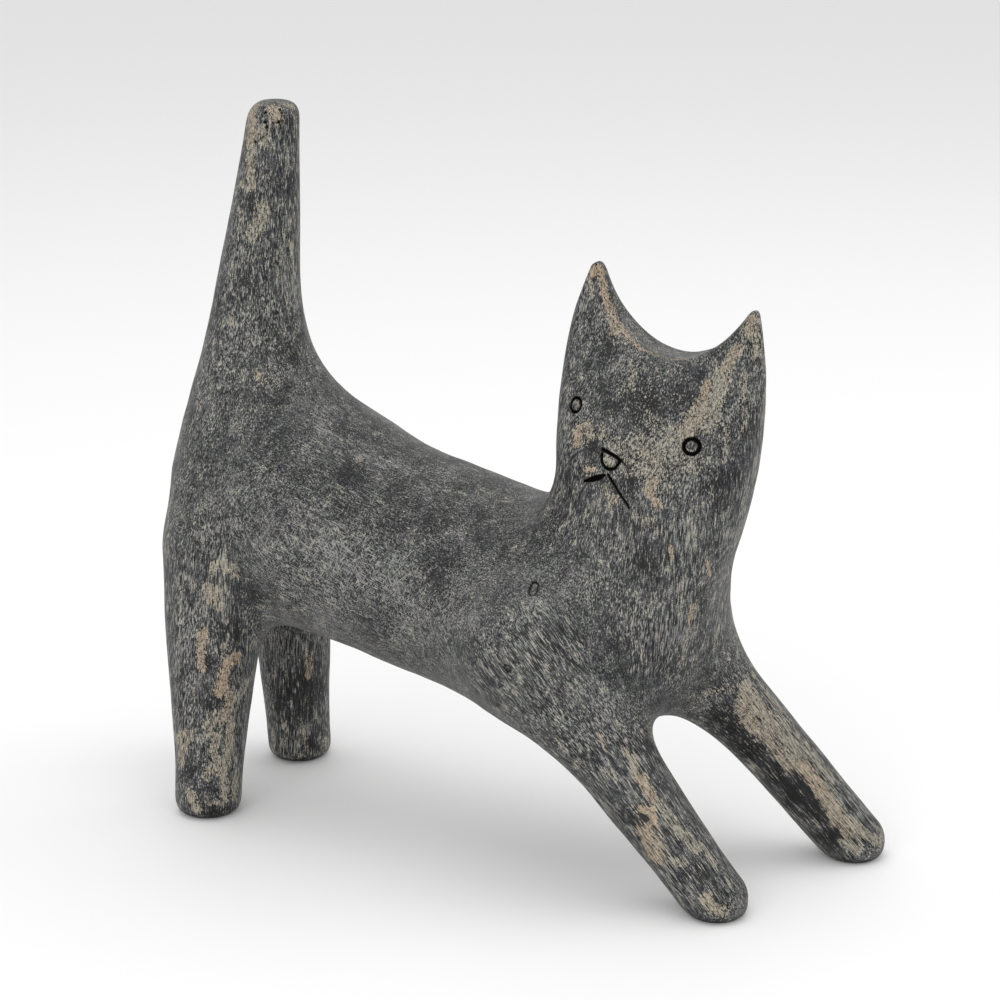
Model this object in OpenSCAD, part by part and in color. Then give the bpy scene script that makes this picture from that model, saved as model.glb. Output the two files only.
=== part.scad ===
// Stretching cat figure, carved in seven pieces that are pegged and glued together.
// Millimetres. The cat's body points along +X, its left side is +Y and +Z is up.
// The origin lies on the ground, under the middle of the figure.
//
// Every carved piece is a share of one smooth skin. The skin is where figure(p) is zero:
// a rounded torso, a tapering tail, four tapering legs and a tulip-shaped head slab,
// blended into each other. A piece is the skin on its own side of its joint plane.

/* [Torso] */
// Centre of the rump ball, along the body
rump_x = -52.5; // [-55:0.5:-49]
// Height of the centre of the rump ball
rump_z = 93.5; // [91:0.5:96]
// Radius of the rump ball
rump_r = 35.8; // [34:0.1:38]
// Centre of the chest ball, along the body
chest_x = 14; // [10:0.5:18]
// Height of the centre of the chest ball
chest_z = 77.5; // [75:0.5:80]
// Radius of the chest ball
chest_r = 35.5; // [34:0.5:37]

/* [Tail] */
// Centre of the tail's root, along the body
tail_root_x = -98; // [-101:0.5:-96]
// Height of the centre of the tail's root
tail_root_z = 110; // [109:0.5:114]
// Radius of the tail at its root
tail_root_r = 20.2; // [18:0.1:22]
// Centre of the tail's tip, along the body
tail_tip_x = -81.5; // [-86:0.5:-78]
// Radius of the tail at its tip
tail_tip_r = 8; // [7:0.5:10]
// Height of the flat end of the tail, and so of the figure
tail_top = 236.5; // [225:0.5:250]
// How far the tail's root melts into the back
tail_blend = 56; // [48:1:60]

/* [Head] */
// Middle of the head, along the body
head_x = 58; // [56:0.5:60]
// Middle of the head, to the left of the body's middle
head_y = -6; // [-8:0.5:-4]
// Height of the middle of the head
head_z = 143; // [141:0.5:145.5]
// How far the face turns past the body's right side
head_yaw = 2; // [0:1:4]
// How far the head tilts towards its left ear
head_roll = 9; // [6:1:11]
// How far the head leans back against that tilt, per mm of height
head_lean = -0.07; // [-0.1:0.01:-0.04]
// Half the head's width at its middle
head_half_w = 33; // [31.5:0.5:34.5]
// Half the head's thickness at the neck
neck_half_t = 23; // [22:0.5:24]
// Half the head's thickness at the ears
ear_half_t = 5.2; // [5:0.2:6]
// Height of the ear tips above the middle of the head
ear_h = 51; // [49:0.5:53]
// Half the width of the oval saddle cut between the ears
saddle_half_w = 25.7; // [25:0.1:27]
// Half the height of that oval
saddle_half_h = 34; // [32:0.5:36]
// Height of the oval's centre above the middle of the head
saddle_z = 59.5; // [58:0.5:61]
// Sideways offset of the oval's centre, towards the left ear
saddle_u = 1.6; // [0.4:0.2:2.8]
// Rounding of the saddle's two edges
saddle_round = 2.8; // [2:0.2:4]
// How far the head's neck melts into the chest
neck_blend = 23; // [20:1:26]

/* [Hind legs] */
// Radius of both hind legs at the ankle
hind_foot_r = 11.3; // [10:0.1:12.5]
// Radius of the right hind leg at the hip
hind_right_hip_r = 17.6; // [16:0.1:19]
// Radius of the left hind leg at the hip
hind_left_hip_r = 15.3; // [14:0.1:17]
// Right hind foot, along the body
hind_right_x = -93; // [-96:0.5:-90]
// Right hind foot, out to the right
hind_right_y = 34.5; // [32:0.5:37]
// Left hind foot, along the body
hind_left_x = -92; // [-95:0.5:-89]
// Left hind foot, out to the left
hind_left_y = 24.5; // [22:0.5:27]

/* [Front legs] */
// Radius of both front legs at the paw
front_paw_r = 10.2; // [9:0.1:11]
// Radius of the right front leg at the shoulder
front_right_shoulder_r = 14.3; // [13:0.1:15.5]
// Radius of the left front leg at the shoulder
front_left_shoulder_r = 12.2; // [11:0.1:13.5]
// Right front paw, along the body
front_right_x = 92.5; // [89:0.5:96]
// Right front paw, out to the right
front_right_y = 36; // [34:0.5:38]
// Left front paw, along the body
front_left_x = 115; // [111:0.5:118]
// Left front paw, out to the left
front_left_y = 26.5; // [24:0.5:29]

/* [Joints] */
// Diameter of the pegs in the legs and the tail
peg_d = 8; // [6:0.5:9]
// Length of the pegs in the legs and the tail
peg_l = 30; // [24:1:32]
// Diameter of the peg in the neck
neck_peg_d = 10; // [8:0.5:12]
// Length of the peg in the neck
neck_peg_l = 40; // [32:1:44]
// Gap all round a peg in its hole
peg_gap = 0.05; // [0.05:0.01:0.1]
// Space for glue behind each end of a peg
glue_gap = 1; // [0.5:0.1:1.5]

/* [Face] */
// Diameter of the ring pressed for each eye, at the middle of its groove
eye_d = 5; // [4:0.1:6]
// Distance of each eye from the middle of the face
eye_u = 20.5; // [18:0.5:22]
// Width of the grooves of the eyes and the nose
groove_w = 1.1; // [0.9:0.1:1.4]
// Depth of all the grooves of the face
groove_depth = 0.9; // [0.5:0.1:1.2]
// Radius of the round part of the nose, at the outside of its groove
nose_r = 2.8; // [2.2:0.1:3]

/* [Facets] */
// Size of the facets on the torso
torso_cell = 4.3; // [4.1:0.1:4.6]
// Size of the facets on the head
head_cell = 2.8; // [2.6:0.1:3.4]
// Size of the facets on the legs and the tail
limb_cell = 3.2; // [3:0.1:3.8]

/* [Hidden] */
$fn = 48;
// Moves the body's own middle so that the origin is under the middle of the figure.
centre_shift = [-2.1, 6.2, 0];

// Torso
rump = [rump_x, 0, rump_z];
chest = [chest_x, 0, chest_z];

// Tail
tail_root = [tail_root_x, 0, tail_root_z];
tail_tip = [tail_tip_x, 0, tail_top - 1.5];
tail_end_round = 6;

// Hind legs, from the hip down to the ankle
hip_z = 85;
hind_ankle_z = 6;
hind_blend = 16;
hind_right_hip = [-97.8, -17.5, hip_z];
hind_right_foot = [hind_right_x, -hind_right_y, hind_ankle_z];
hind_left_hip = [-94, 21, hip_z];
hind_left_foot = [hind_left_x, hind_left_y, hind_ankle_z];

// Front legs, from the shoulder down to the paw
paw_z = 5;
front_blend = 36;
front_right_shoulder = [28, -31.5, 74];
front_right_paw = [front_right_x, -front_right_y, paw_z];
front_left_shoulder = [58.5, 8, 74];
front_left_paw = [front_left_x, front_left_y, paw_z];

// The soles are rounded down to this far under the ground, and then cut flat on it.
sole_round = 4;
sole_spare = 0.8;

// Head. Its own frame is u across the face, v out of the face and w up.
head = [head_x, head_y, head_z];
head_u0 = [cos(head_yaw), sin(head_yaw), 0];
head_v = [sin(head_yaw), -cos(head_yaw), 0];
head_u = head_u0 * cos(head_roll) - [0, 0, sin(head_roll)];
head_w = head_u0 * sin(head_roll) + [0, 0, cos(head_roll)];
head_frame = [head_u, head_v, head_w];
// The power that squares off the head's section, where 2 is an ellipse
head_power = 2.4;
// The slab thins from the neck to the ears between these two heights.
thin_from = -25;
thin_to = 46;
// The half width is a cubic of the height over this length.
width_span = 55;
width_terms = [3.5, -9.4, -2.5];
ear_round = 6;
// The left ear's tip is lower than the right one's by this much per mm across the head.
ear_fall = 0.04;
neck_depth = 75;
neck_round = 30;

// The face, as [sideways, up] from the middle of the head. It was made by hand, a little
// off the head's middle and not quite level.
face_mid = -4;
right_eye = [face_mid - eye_u, 5.5];
left_eye = [face_mid + eye_u, 3.5];
nose = [-7.2, -7.2];
nose_turn = 100;
mouth_top = [-7, -11.3];
mouth_right = [-14, -14.8];
mouth_right_w = 1.7;
mouth_left = [0.8, -19];
mouth_left_w = 0.8;

// ---- the skin ----

function clamp01(x) = max(0, min(1, x));
function ease(t) = t * t * (3 - 2 * t);

// Union and cut with a rounded meeting line about k wide
function blend(a, b, k) = let(h = max(k - abs(a - b), 0) / k) min(a, b) - h * h * k / 4;
function trim(a, b, k) = -blend(-a, -b, k);

// A round bar from a to b whose radius runs evenly from ra to rb
function bar(p, a, b, ra, rb) =
    let(d = b - a, t = clamp01((p - a) * d / (d * d)))
    norm(p - a - t * d) - ra - (rb - ra) * t;

// The same with a radius that eases in and out, as a carved leg does
function leg(p, a, b, ra, rb) =
    let(d = b - a, t = clamp01((p - a) * d / (d * d)))
    norm(p - a - t * d) - ra - (rb - ra) * ease(t);

function head_half_width(w) =
    let(x = w / width_span)
    head_half_w + x * (width_terms[0] + x * (width_terms[1] + x * width_terms[2]));
function head_half_thick(w) =
    neck_half_t + (ear_half_t - neck_half_t) * ease(clamp01((w - thin_from) / (thin_to - thin_from)));

// The head: a flattened bar, ended above by the ears and cut by the oval saddle
function head_skin(p) =
    let(q = head_frame * (p - head), w = q[2], u = q[0] - head_lean * w,
        a = head_half_width(w), b = head_half_thick(w),
        r = pow(pow(abs(u / a), head_power) + pow(abs(q[1] / b), head_power), 1 / head_power),
        tips = w + ear_fall * u - ear_h,
        slab = trim(trim((r - 1) * min(a, b), tips, ear_round), -neck_depth - w, neck_round),
        oval = norm([(u - saddle_u) / saddle_half_w, (w - saddle_z) / saddle_half_h]))
    trim(slab, saddle_half_w * (1 - oval), saddle_round);

// The whole figure
function figure(p) =
    let(back = blend(bar(p, rump, chest, rump_r, chest_r),
                     trim(bar(p, tail_root, tail_tip, tail_root_r, tail_tip_r),
                          p[2] - tail_top, tail_end_round), tail_blend),
        hind = blend(blend(back, leg(p, hind_right_hip, hind_right_foot,
                                     hind_right_hip_r, hind_foot_r), hind_blend),
                     leg(p, hind_left_hip, hind_left_foot,
                         hind_left_hip_r, hind_foot_r), hind_blend),
        front = blend(blend(hind, leg(p, front_right_shoulder, front_right_paw,
                                      front_right_shoulder_r, front_paw_r), front_blend),
                      leg(p, front_left_shoulder, front_left_paw,
                          front_left_shoulder_r, front_paw_r), front_blend))
    trim(blend(front, head_skin(p), neck_blend), -p[2] - sole_spare, sole_round);

// The front of the head at a place on the face, and how steeply it falls away there
function face_v(f) =
    let(u = f[0] - head_lean * f[1])
    head_half_thick(f[1])
        * pow(1 - pow(abs(u) / head_half_width(f[1]), head_power), 1 / head_power);
function face_point(f) = head + f[0] * head_u + face_v(f) * head_v + f[1] * head_w;
function face_normal(f) =
    let(d = 0.5,
        du = (face_v(f + [d, 0]) - face_v(f - [d, 0])) / (2 * d),
        dw = (face_v(f + [0, d]) - face_v(f - [0, d])) / (2 * d),
        n = head_v - du * head_u - dw * head_w)
    n / norm(n);

// ---- the joints ----

// A joint is [a point on its plane, the plane's normal towards the limb, a radius that
// holds the limb's root, peg diameter, peg length].
function along(a, b, s) = a + (b - a) / norm(b - a) * s;
function joint(a, b, s, reach, d, l) = [along(a, b, s), (b - a) / norm(b - a), reach, d, l];

neck_joint = [head - 27 * head_w, head_w, 44, neck_peg_d, neck_peg_l];
tail_joint = joint(tail_root, tail_tip, 44, 30, peg_d, peg_l);
hind_right_joint = joint(hind_right_hip, hind_right_foot, 36, 22, peg_d, peg_l);
hind_left_joint = joint(hind_left_hip, hind_left_foot, 35, 20, peg_d, peg_l);
front_right_joint = joint(front_right_shoulder, front_right_paw, 48, 20, peg_d, peg_l);
front_left_joint = joint(front_left_shoulder, front_left_paw, 40, 20, peg_d, peg_l);
joints = [neck_joint, tail_joint, hind_right_joint, hind_left_joint,
          front_right_joint, front_left_joint];

// Each skin runs this far past its joint plane, and is then cut off flat at the plane.
spare = 5;

// Positive on the limb's side of the joint, further out than s
function past(p, j, s) =
    let(d = p - j[0], a = d * j[1]) min(a - s, j[2] - norm(d - a * j[1]));
function torso_solid(p) = max([figure(p), for (j = joints) past(p, j, spare)]);
function limb_solid(p, j) = max(figure(p), -past(p, j, -spare));
function solid_at(p, j) = j == undef ? torso_solid(p) : limb_solid(p, j);

// ---- facets ----

// The skin is sampled on a lattice of cubes. Each cube that the skin crosses holds one
// point on the skin, and each lattice edge that it crosses joins the four points round it.
corners = [for (i = [0, 1]) for (j = [0, 1]) for (k = [0, 1]) [i, j, k]];
edges = [for (a = [0:7]) for (b = [a + 1:7]) if (norm(corners[a] - corners[b]) == 1) [a, b]];
nudge = 0.05;

function slope(p, j) =
    [for (e = [[nudge, 0, 0], [0, nudge, 0], [0, 0, nudge]])
        (solid_at(p + e, j) - solid_at(p - e, j)) / (2 * nudge)];
// One step down the slope to the skin, never further than most
function settle(p, j, most) =
    let(g = slope(p, j), f = solid_at(p, j), s = -f / max(g * g, 0.1), n = norm(g) * abs(s))
    p + g * s * (n > most ? most / n : 1);

function crossing(heights, e) =
    let(a = heights[e[0]], b = heights[e[1]])
    corners[e[0]] + (corners[e[1]] - corners[e[0]]) * a / (a - b);
function cube_point(heights) =
    let(c = [for (e = edges) if ((heights[e[0]] < 0) != (heights[e[1]] < 0)) crossing(heights, e)])
    [for (x = c) 1 / len(c)] * c;

module skin(low, high, cell, j = undef) {
    n = [for (i = [0:2]) ceil((high[i] - low[i]) / cell)];
    height = [for (x = [0:n[0]]) [for (y = [0:n[1]]) [for (z = [0:n[2]])
        solid_at(low + cell * [x, y, z], j)]]];
    at = [for (x = [0:n[0] - 1]) for (y = [0:n[1] - 1]) for (z = [0:n[2] - 1]) [x, y, z]];
    cubes = [for (c = at) [for (o = corners) height[c[0] + o[0]][c[1] + o[1]][c[2] + o[2]]]];
    crossed = [for (h = cubes) min(h) < 0 && max(h) >= 0 ? 1 : 0];
    number = [for (i = 0, t = 0; i < len(crossed); t = t + crossed[i], i = i + 1) t];
    points = [for (i = [0:len(at) - 1]) if (crossed[i] == 1)
        settle(settle(low + cell * (at[i] + cube_point(cubes[i])), j, cell / 3), j, cell / 3)];
    // The cube whose low corner is c, as a point number
    function id(c) = number[(c[0] * n[1] + c[1]) * n[2] + c[2]];
    quads = [for (axis = [0:2])
        let(a = [for (i = [0:2]) i == (axis + 1) % 3 ? 1 : 0],
            b = [for (i = [0:2]) i == (axis + 2) % 3 ? 1 : 0],
            e = [1, 1, 1] - a - b)
        for (c = at)
            let(o = c + e,
                inside = height[c[0]][c[1]][c[2]] < 0,
                other = height[o[0]][o[1]][o[2]] < 0)
            if (inside != other && c * a > 0 && c * b > 0)
                let(q = [id(c - a - b), id(c - b), id(c), id(c - a)])
                inside ? [q[3], q[2], q[1], q[0]] : q];
    triangles = [for (q = quads)
        let(short = norm(points[q[0]] - points[q[2]]) < norm(points[q[1]] - points[q[3]]))
        each short ? [[q[0], q[1], q[2]], [q[0], q[2], q[3]]]
                   : [[q[0], q[1], q[3]], [q[1], q[2], q[3]]]];
    polyhedron(points, triangles);
}

// ---- the carved pieces ----

// Puts its children at a point, with +Z along a direction
module placed(point, n) {
    translate(point)
        rotate([0, acos(n[2]), atan2(n[1], n[0])])
            children();
}

// Puts its children on a joint's plane, with +Z towards the limb
module on_joint(j) {
    placed(j[0], j[1])
        children();
}

// The blind holes of a joint, one in each piece
module peg_hole(j) {
    on_joint(j)
        cylinder(d = j[3] + 2 * peg_gap, h = j[4] + 2 * glue_gap, center = true);
}

// A limb's share of the skin, cut flat at its joint and drilled for its peg
module limb(j, low, high, cell) {
    difference() {
        skin(low, high, cell, j);
        on_joint(j)
            translate([0, 0, -3 * spare])
                cylinder(r = j[2] + 2 * cell, h = 3 * spare);
        peg_hole(j);
    }
}

// A leg, cut flat on the ground
module carved_leg(j, low, high) {
    color("dimgray")
        difference() {
            limb(j, low, high, limb_cell);
            translate(low)
                cube([high[0] - low[0], high[1] - low[1], -low[2]]);
        }
}

// A plain wooden peg with chamfered ends, centred on its joint's plane
module peg(j) {
    chamfer = 0.8;
    r = j[3] / 2;
    half = j[4] / 2;
    color("tan")
        on_joint(j)
            rotate_extrude()
                polygon([[0, -half], [r - chamfer, -half], [r, chamfer - half],
                         [r, half - chamfer], [r - chamfer, half], [0, half]]);
}

module torso() {
    color("dimgray")
        difference() {
            skin([-126, -50, 12], [106, 50, 172], torso_cell);
            for (j = joints) {
                on_joint(j)
                    cylinder(r = j[2], h = 3 * spare);
                peg_hole(j);
            }
        }
}

// Puts its children on the face with +Z outwards, turned so that +Y is up the face
module on_face(f) {
    n = face_normal(f);
    side = cross(head_w, n) / norm(cross(head_w, n));
    up = cross(n, side);
    p = face_point(f);
    multmatrix([[side[0], up[0], n[0], p[0]], [side[1], up[1], n[1], p[1]],
                [side[2], up[2], n[2], p[2]]])
        translate([0, 0, -groove_depth])
            linear_extrude(4 * groove_depth)
                children();
}

module ring(d, w) {
    difference() {
        circle(d = d + w);
        circle(d = d - w);
    }
}

// A disc with one square corner
module drop(r) {
    circle(r);
    square(r);
}

// A stroke with round ends from a to b on the face
module stroke(a, b, w) {
    long = norm(b - a);
    on_face((a + b) / 2)
        rotate(atan2(b[1] - a[1], b[0] - a[0])) {
            square([long, w], center = true);
            for (end = [-long / 2, long / 2])
                translate([end, 0])
                    circle(d = w);
        }
}

module head() {
    color("dimgray")
        difference() {
            limb(neck_joint, [12, -40, 98], [104, 28, 206], head_cell);
            for (eye = [right_eye, left_eye])
                on_face(eye)
                    ring(eye_d, groove_w);
            on_face(nose)
                rotate(nose_turn)
                    difference() {
                        drop(nose_r);
                        drop(nose_r - groove_w);
                    }
            stroke(mouth_top, mouth_right, mouth_right_w);
            stroke(mouth_top, mouth_left, mouth_left_w);
        }
}

module tail() {
    color("dimgray")
        limb(tail_joint, [-126, -32, 142], [-60, 32, 242], limb_cell);
}

module hind_right_leg() {
    carved_leg(hind_right_joint, [-120, -54, -4], [-70, 2, 64]);
}

module hind_left_leg() {
    carved_leg(hind_left_joint, [-120, -2, -4], [-70, 46, 64]);
}

module front_right_leg() {
    carved_leg(front_right_joint, [37, -55, -5], [112, -8, 66]);
}

module front_left_leg() {
    carved_leg(front_left_joint, [60, -6, -4], [134, 48, 70]);
}

translate(centre_shift) {
    torso();
    head();
    tail();
    hind_right_leg();
    hind_left_leg();
    front_right_leg();
    front_left_leg();
    peg(neck_joint);  // neck_peg
    peg(tail_joint);  // tail_peg
    peg(hind_right_joint);  // hind_right_peg
    peg(hind_left_joint);  // hind_left_peg
    peg(front_right_joint);  // front_right_peg
    peg(front_left_joint);  // front_left_peg
}
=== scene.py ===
"""A stretching cat figure, carved in seven pegged pieces and painted charcoal over a peach-beige ground.

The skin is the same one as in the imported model: figure(p) is zero on it. Every carved piece is its share
of that skin, meshed finely, given hand-made unevenness, pressed and cut marks, and drilled for its peg.
"""
import math

import bmesh
import bpy
import numpy as np
from mathutils import Matrix, Vector


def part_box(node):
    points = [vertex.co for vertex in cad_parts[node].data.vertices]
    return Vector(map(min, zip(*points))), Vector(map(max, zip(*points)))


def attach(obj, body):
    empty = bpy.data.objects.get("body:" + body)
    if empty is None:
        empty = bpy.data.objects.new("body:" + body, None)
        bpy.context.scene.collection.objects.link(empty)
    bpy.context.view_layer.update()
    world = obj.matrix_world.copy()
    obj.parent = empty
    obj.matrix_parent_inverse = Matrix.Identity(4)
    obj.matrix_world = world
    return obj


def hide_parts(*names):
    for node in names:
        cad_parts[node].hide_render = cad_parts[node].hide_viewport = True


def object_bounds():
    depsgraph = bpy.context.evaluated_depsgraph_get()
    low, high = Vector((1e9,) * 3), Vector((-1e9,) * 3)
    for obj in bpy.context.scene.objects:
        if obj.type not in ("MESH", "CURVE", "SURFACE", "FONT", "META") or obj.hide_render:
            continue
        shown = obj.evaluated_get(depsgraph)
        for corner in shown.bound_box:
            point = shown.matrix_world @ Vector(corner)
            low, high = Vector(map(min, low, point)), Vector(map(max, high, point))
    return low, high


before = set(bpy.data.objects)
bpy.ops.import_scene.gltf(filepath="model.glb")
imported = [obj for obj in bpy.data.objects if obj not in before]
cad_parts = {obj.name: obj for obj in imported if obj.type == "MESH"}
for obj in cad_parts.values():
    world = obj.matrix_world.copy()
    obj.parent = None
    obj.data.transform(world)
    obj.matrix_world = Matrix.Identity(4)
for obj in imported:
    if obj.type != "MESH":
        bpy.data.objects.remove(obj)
CAD_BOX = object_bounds()
MM = 0.001

# ---------------------------------------------------------------- the skin, in millimetres
# From the body's own middle to the row frame
SHIFT = np.array([-2.1, 6.2, 0.0])

RUMP, RUMP_R = (-52.5, 0, 93.5), 35.8
CHEST, CHEST_R = (14, 0, 77.5), 35.5
TAIL_ROOT, TAIL_ROOT_R = (-98, 0, 110), 20.2
TAIL_TIP, TAIL_TIP_R = (-81.5, 0, 235), 8
TAIL_TOP, TAIL_BLEND, TAIL_END_ROUND = 236.5, 56, 6
HIND_BLEND, FRONT_BLEND, NECK_BLEND, SOLE_ROUND, SOLE_SPARE = 16, 36, 23, 4, 0.8
# Each leg: from, to, radius there, radius here
LEGS = {
    "hind_right": ((-97.8, -17.5, 85), (-93, -34.5, 6), 17.6, 11.3),
    "hind_left": ((-94, 21, 85), (-92, 24.5, 6), 15.3, 11.3),
    "front_right": ((28, -31.5, 74), (92.5, -36, 5), 14.3, 10.2),
    "front_left": ((58.5, 8, 74), (115, 26.5, 5), 12.2, 10.2),
}
HEAD = np.array([58, -6, 143])
HEAD_YAW, HEAD_ROLL, HEAD_LEAN = math.radians(2), math.radians(9), -0.07
EAR_H, EAR_ROUND, EAR_FALL = 51, 6, 0.04
# The oval saddle between the ears: half width, half height, middle, rounding of its edges
SADDLE_A, SADDLE_B, SADDLE_U, SADDLE_W, SADDLE_ROUND = 25.7, 34, 1.6, 59.5, 2.8
# The power that squares off the head's section, where 2 is an ellipse
HEAD_POWER = 2.4
# The half width at the head's middle, and the cubic of the height over a span that is added to it
HEAD_HALF_W, WIDTH_SPAN, WIDTH_TERMS = 33, 55, (3.5, -9.4, -2.5)
# The half thickness at the neck and at the ears, and the heights between which it thins
NECK_HALF_T, EAR_HALF_T, THIN_FROM, THIN_TO = 23, 5.2, -25, 46
# How far the head's bar runs down into the neck, and the rounding of that end
NECK_DEPTH, NECK_ROUND = 75, 30


def blend(a, b, k):
    """The union of two skins, with a rounded meeting line about k wide."""
    h = np.maximum(k - np.abs(a - b), 0) / k
    return np.minimum(a, b) - h * h * k / 4


def trim(a, b, k):
    """What two skins have in common, with a rounded edge."""
    return -blend(-a, -b, k)


def ease(t):
    t = np.clip(t, 0, 1)
    return t * t * (3 - 2 * t)


def bar(p, a, b, ra, rb, eased=False):
    """A round bar from a to b whose radius runs from ra to rb."""
    a = np.array(a, float)
    d = np.array(b, float) - a
    t = np.clip((p - a) @ d / (d @ d), 0, 1)
    away = np.linalg.norm(p - a - t[..., None] * d, axis=-1)
    return away - ra - (rb - ra) * (ease(t) if eased else t)


# The head's own frame: U across the face, V out of it, W up
LEVEL_U = np.array([math.cos(HEAD_YAW), math.sin(HEAD_YAW), 0])
HEAD_V = np.array([math.sin(HEAD_YAW), -math.cos(HEAD_YAW), 0])
HEAD_U = LEVEL_U * math.cos(HEAD_ROLL) - np.array([0, 0, math.sin(HEAD_ROLL)])
HEAD_W = LEVEL_U * math.sin(HEAD_ROLL) + np.array([0, 0, math.cos(HEAD_ROLL)])
HEAD_AXES = np.stack([HEAD_U, HEAD_V, HEAD_W])


def head_half_width(w):
    x = w / WIDTH_SPAN
    return HEAD_HALF_W + x * (WIDTH_TERMS[0] + x * (WIDTH_TERMS[1] + x * WIDTH_TERMS[2]))


def head_half_thick(w):
    return NECK_HALF_T + (EAR_HALF_T - NECK_HALF_T) * ease((w - THIN_FROM) / (THIN_TO - THIN_FROM))


def head_skin(p):
    q = (p - HEAD) @ HEAD_AXES.T
    w = q[..., 2]
    u = q[..., 0] - HEAD_LEAN * w
    a, b = head_half_width(w), head_half_thick(w)
    r = (np.abs(u / a) ** HEAD_POWER + np.abs(q[..., 1] / b) ** HEAD_POWER) ** (1 / HEAD_POWER)
    slab = trim((r - 1) * np.minimum(a, b), w + EAR_FALL * u - EAR_H, EAR_ROUND)
    slab = trim(slab, -NECK_DEPTH - w, NECK_ROUND)
    oval = np.hypot((u - SADDLE_U) / SADDLE_A, (w - SADDLE_W) / SADDLE_B)
    return trim(slab, SADDLE_A * (1 - oval), SADDLE_ROUND)


def figure(p):
    """The whole figure's skin: below 0 inside, 0 on it."""
    tail = trim(bar(p, TAIL_ROOT, TAIL_TIP, TAIL_ROOT_R, TAIL_TIP_R), p[..., 2] - TAIL_TOP, TAIL_END_ROUND)
    f = blend(bar(p, RUMP, CHEST, RUMP_R, CHEST_R), tail, TAIL_BLEND)
    for name, (a, b, ra, rb) in LEGS.items():
        width = HIND_BLEND if name.startswith("hind") else FRONT_BLEND
        f = blend(f, bar(p, a, b, ra, rb, eased=True), width)
    return trim(blend(f, head_skin(p), NECK_BLEND), -p[..., 2] - SOLE_SPARE, SOLE_ROUND)


# ---------------------------------------------------------------- the joints between the pieces
PEG_R, PEG_L, NECK_PEG_R, NECK_PEG_L = 4.0, 30.0, 5.0, 40.0
# The gap all round a peg, the space for glue behind each of its ends, and how far skins run past a joint
PEG_GAP, GLUE_GAP, SPARE = 0.05, 1.0, 4.0
# The neck's joint is this far under the head's middle.
NECK_JOINT_DROP = 27


def joint_on(a, b, s, reach, peg_r=PEG_R, peg_l=PEG_L):
    """A joint square to the limb from a to b, s along it. Its cut reaches this far from the limb's middle."""
    a, b = np.array(a, float), np.array(b, float)
    n = (b - a) / np.linalg.norm(b - a)
    return {"at": a + n * s, "n": n, "reach": reach, "peg_r": peg_r, "peg_l": peg_l}


JOINTS = {
    "head": {"at": HEAD - NECK_JOINT_DROP * HEAD_W, "n": HEAD_W, "reach": 44,
             "peg_r": NECK_PEG_R, "peg_l": NECK_PEG_L},
    "tail": joint_on(TAIL_ROOT, TAIL_TIP, 44, 30),
    "hind_right_leg": joint_on(*LEGS["hind_right"][:2], 36, 22),
    "hind_left_leg": joint_on(*LEGS["hind_left"][:2], 35, 20),
    "front_right_leg": joint_on(*LEGS["front_right"][:2], 48, 20),
    "front_left_leg": joint_on(*LEGS["front_left"][:2], 40, 20),
}


def past(p, j, s):
    """How far points are past a joint's plane, less s, inside the joint's reach."""
    d = p - j["at"]
    a = d @ j["n"]
    return np.minimum(a - s, j["reach"] - np.linalg.norm(d - a[..., None] * j["n"], axis=-1))


def piece_solid(name):
    """The skin of one piece, running a little past its joint planes."""
    if name == "torso":
        return lambda p: np.maximum.reduce([figure(p)] + [past(p, j, SPARE) for j in JOINTS.values()])
    return lambda p: np.maximum(figure(p), -past(p, JOINTS[name], -SPARE))


# ---------------------------------------------------------------- meshing
# Cubes are sampled in blocks of this many a side.
BLOCK = 4
CORNERS = [(i, j, k) for i in (0, 1) for j in (0, 1) for k in (0, 1)]
EDGES = [(a, b) for a in CORNERS for b in CORNERS
         if a < b and sum(x != y for x, y in zip(a, b)) == 1]


def sample(solid, low, high, cell):
    """Heights of the skin on a lattice. Blocks of cubes far from the skin keep one height for all."""
    blocks = np.ceil((high - low) / (cell * BLOCK)).astype(int)
    grid = [low[i] + cell * BLOCK * (np.arange(blocks[i]) + 0.5) for i in range(3)]
    rough = solid(np.stack(np.meshgrid(*grid, indexing="ij"), -1))
    near = np.abs(rough) < 2.0 * BLOCK * cell
    for axis in range(3):
        rough, near = np.repeat(rough, BLOCK, axis), np.repeat(near, BLOCK, axis)
    height = np.pad(rough, (0, 1), mode="edge")
    wanted = np.zeros(height.shape, bool)
    for i, j, k in CORNERS:
        wanted[i:i + near.shape[0], j:j + near.shape[1], k:k + near.shape[2]] |= near
    where = np.argwhere(wanted)
    height[wanted] = solid(low + cell * where)
    return height


def corner_view(height, o):
    """The heights at one corner of every cube."""
    return height[o[0]:height.shape[0] - 1 + o[0], o[1]:height.shape[1] - 1 + o[1],
                  o[2]:height.shape[2] - 1 + o[2]]


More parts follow.
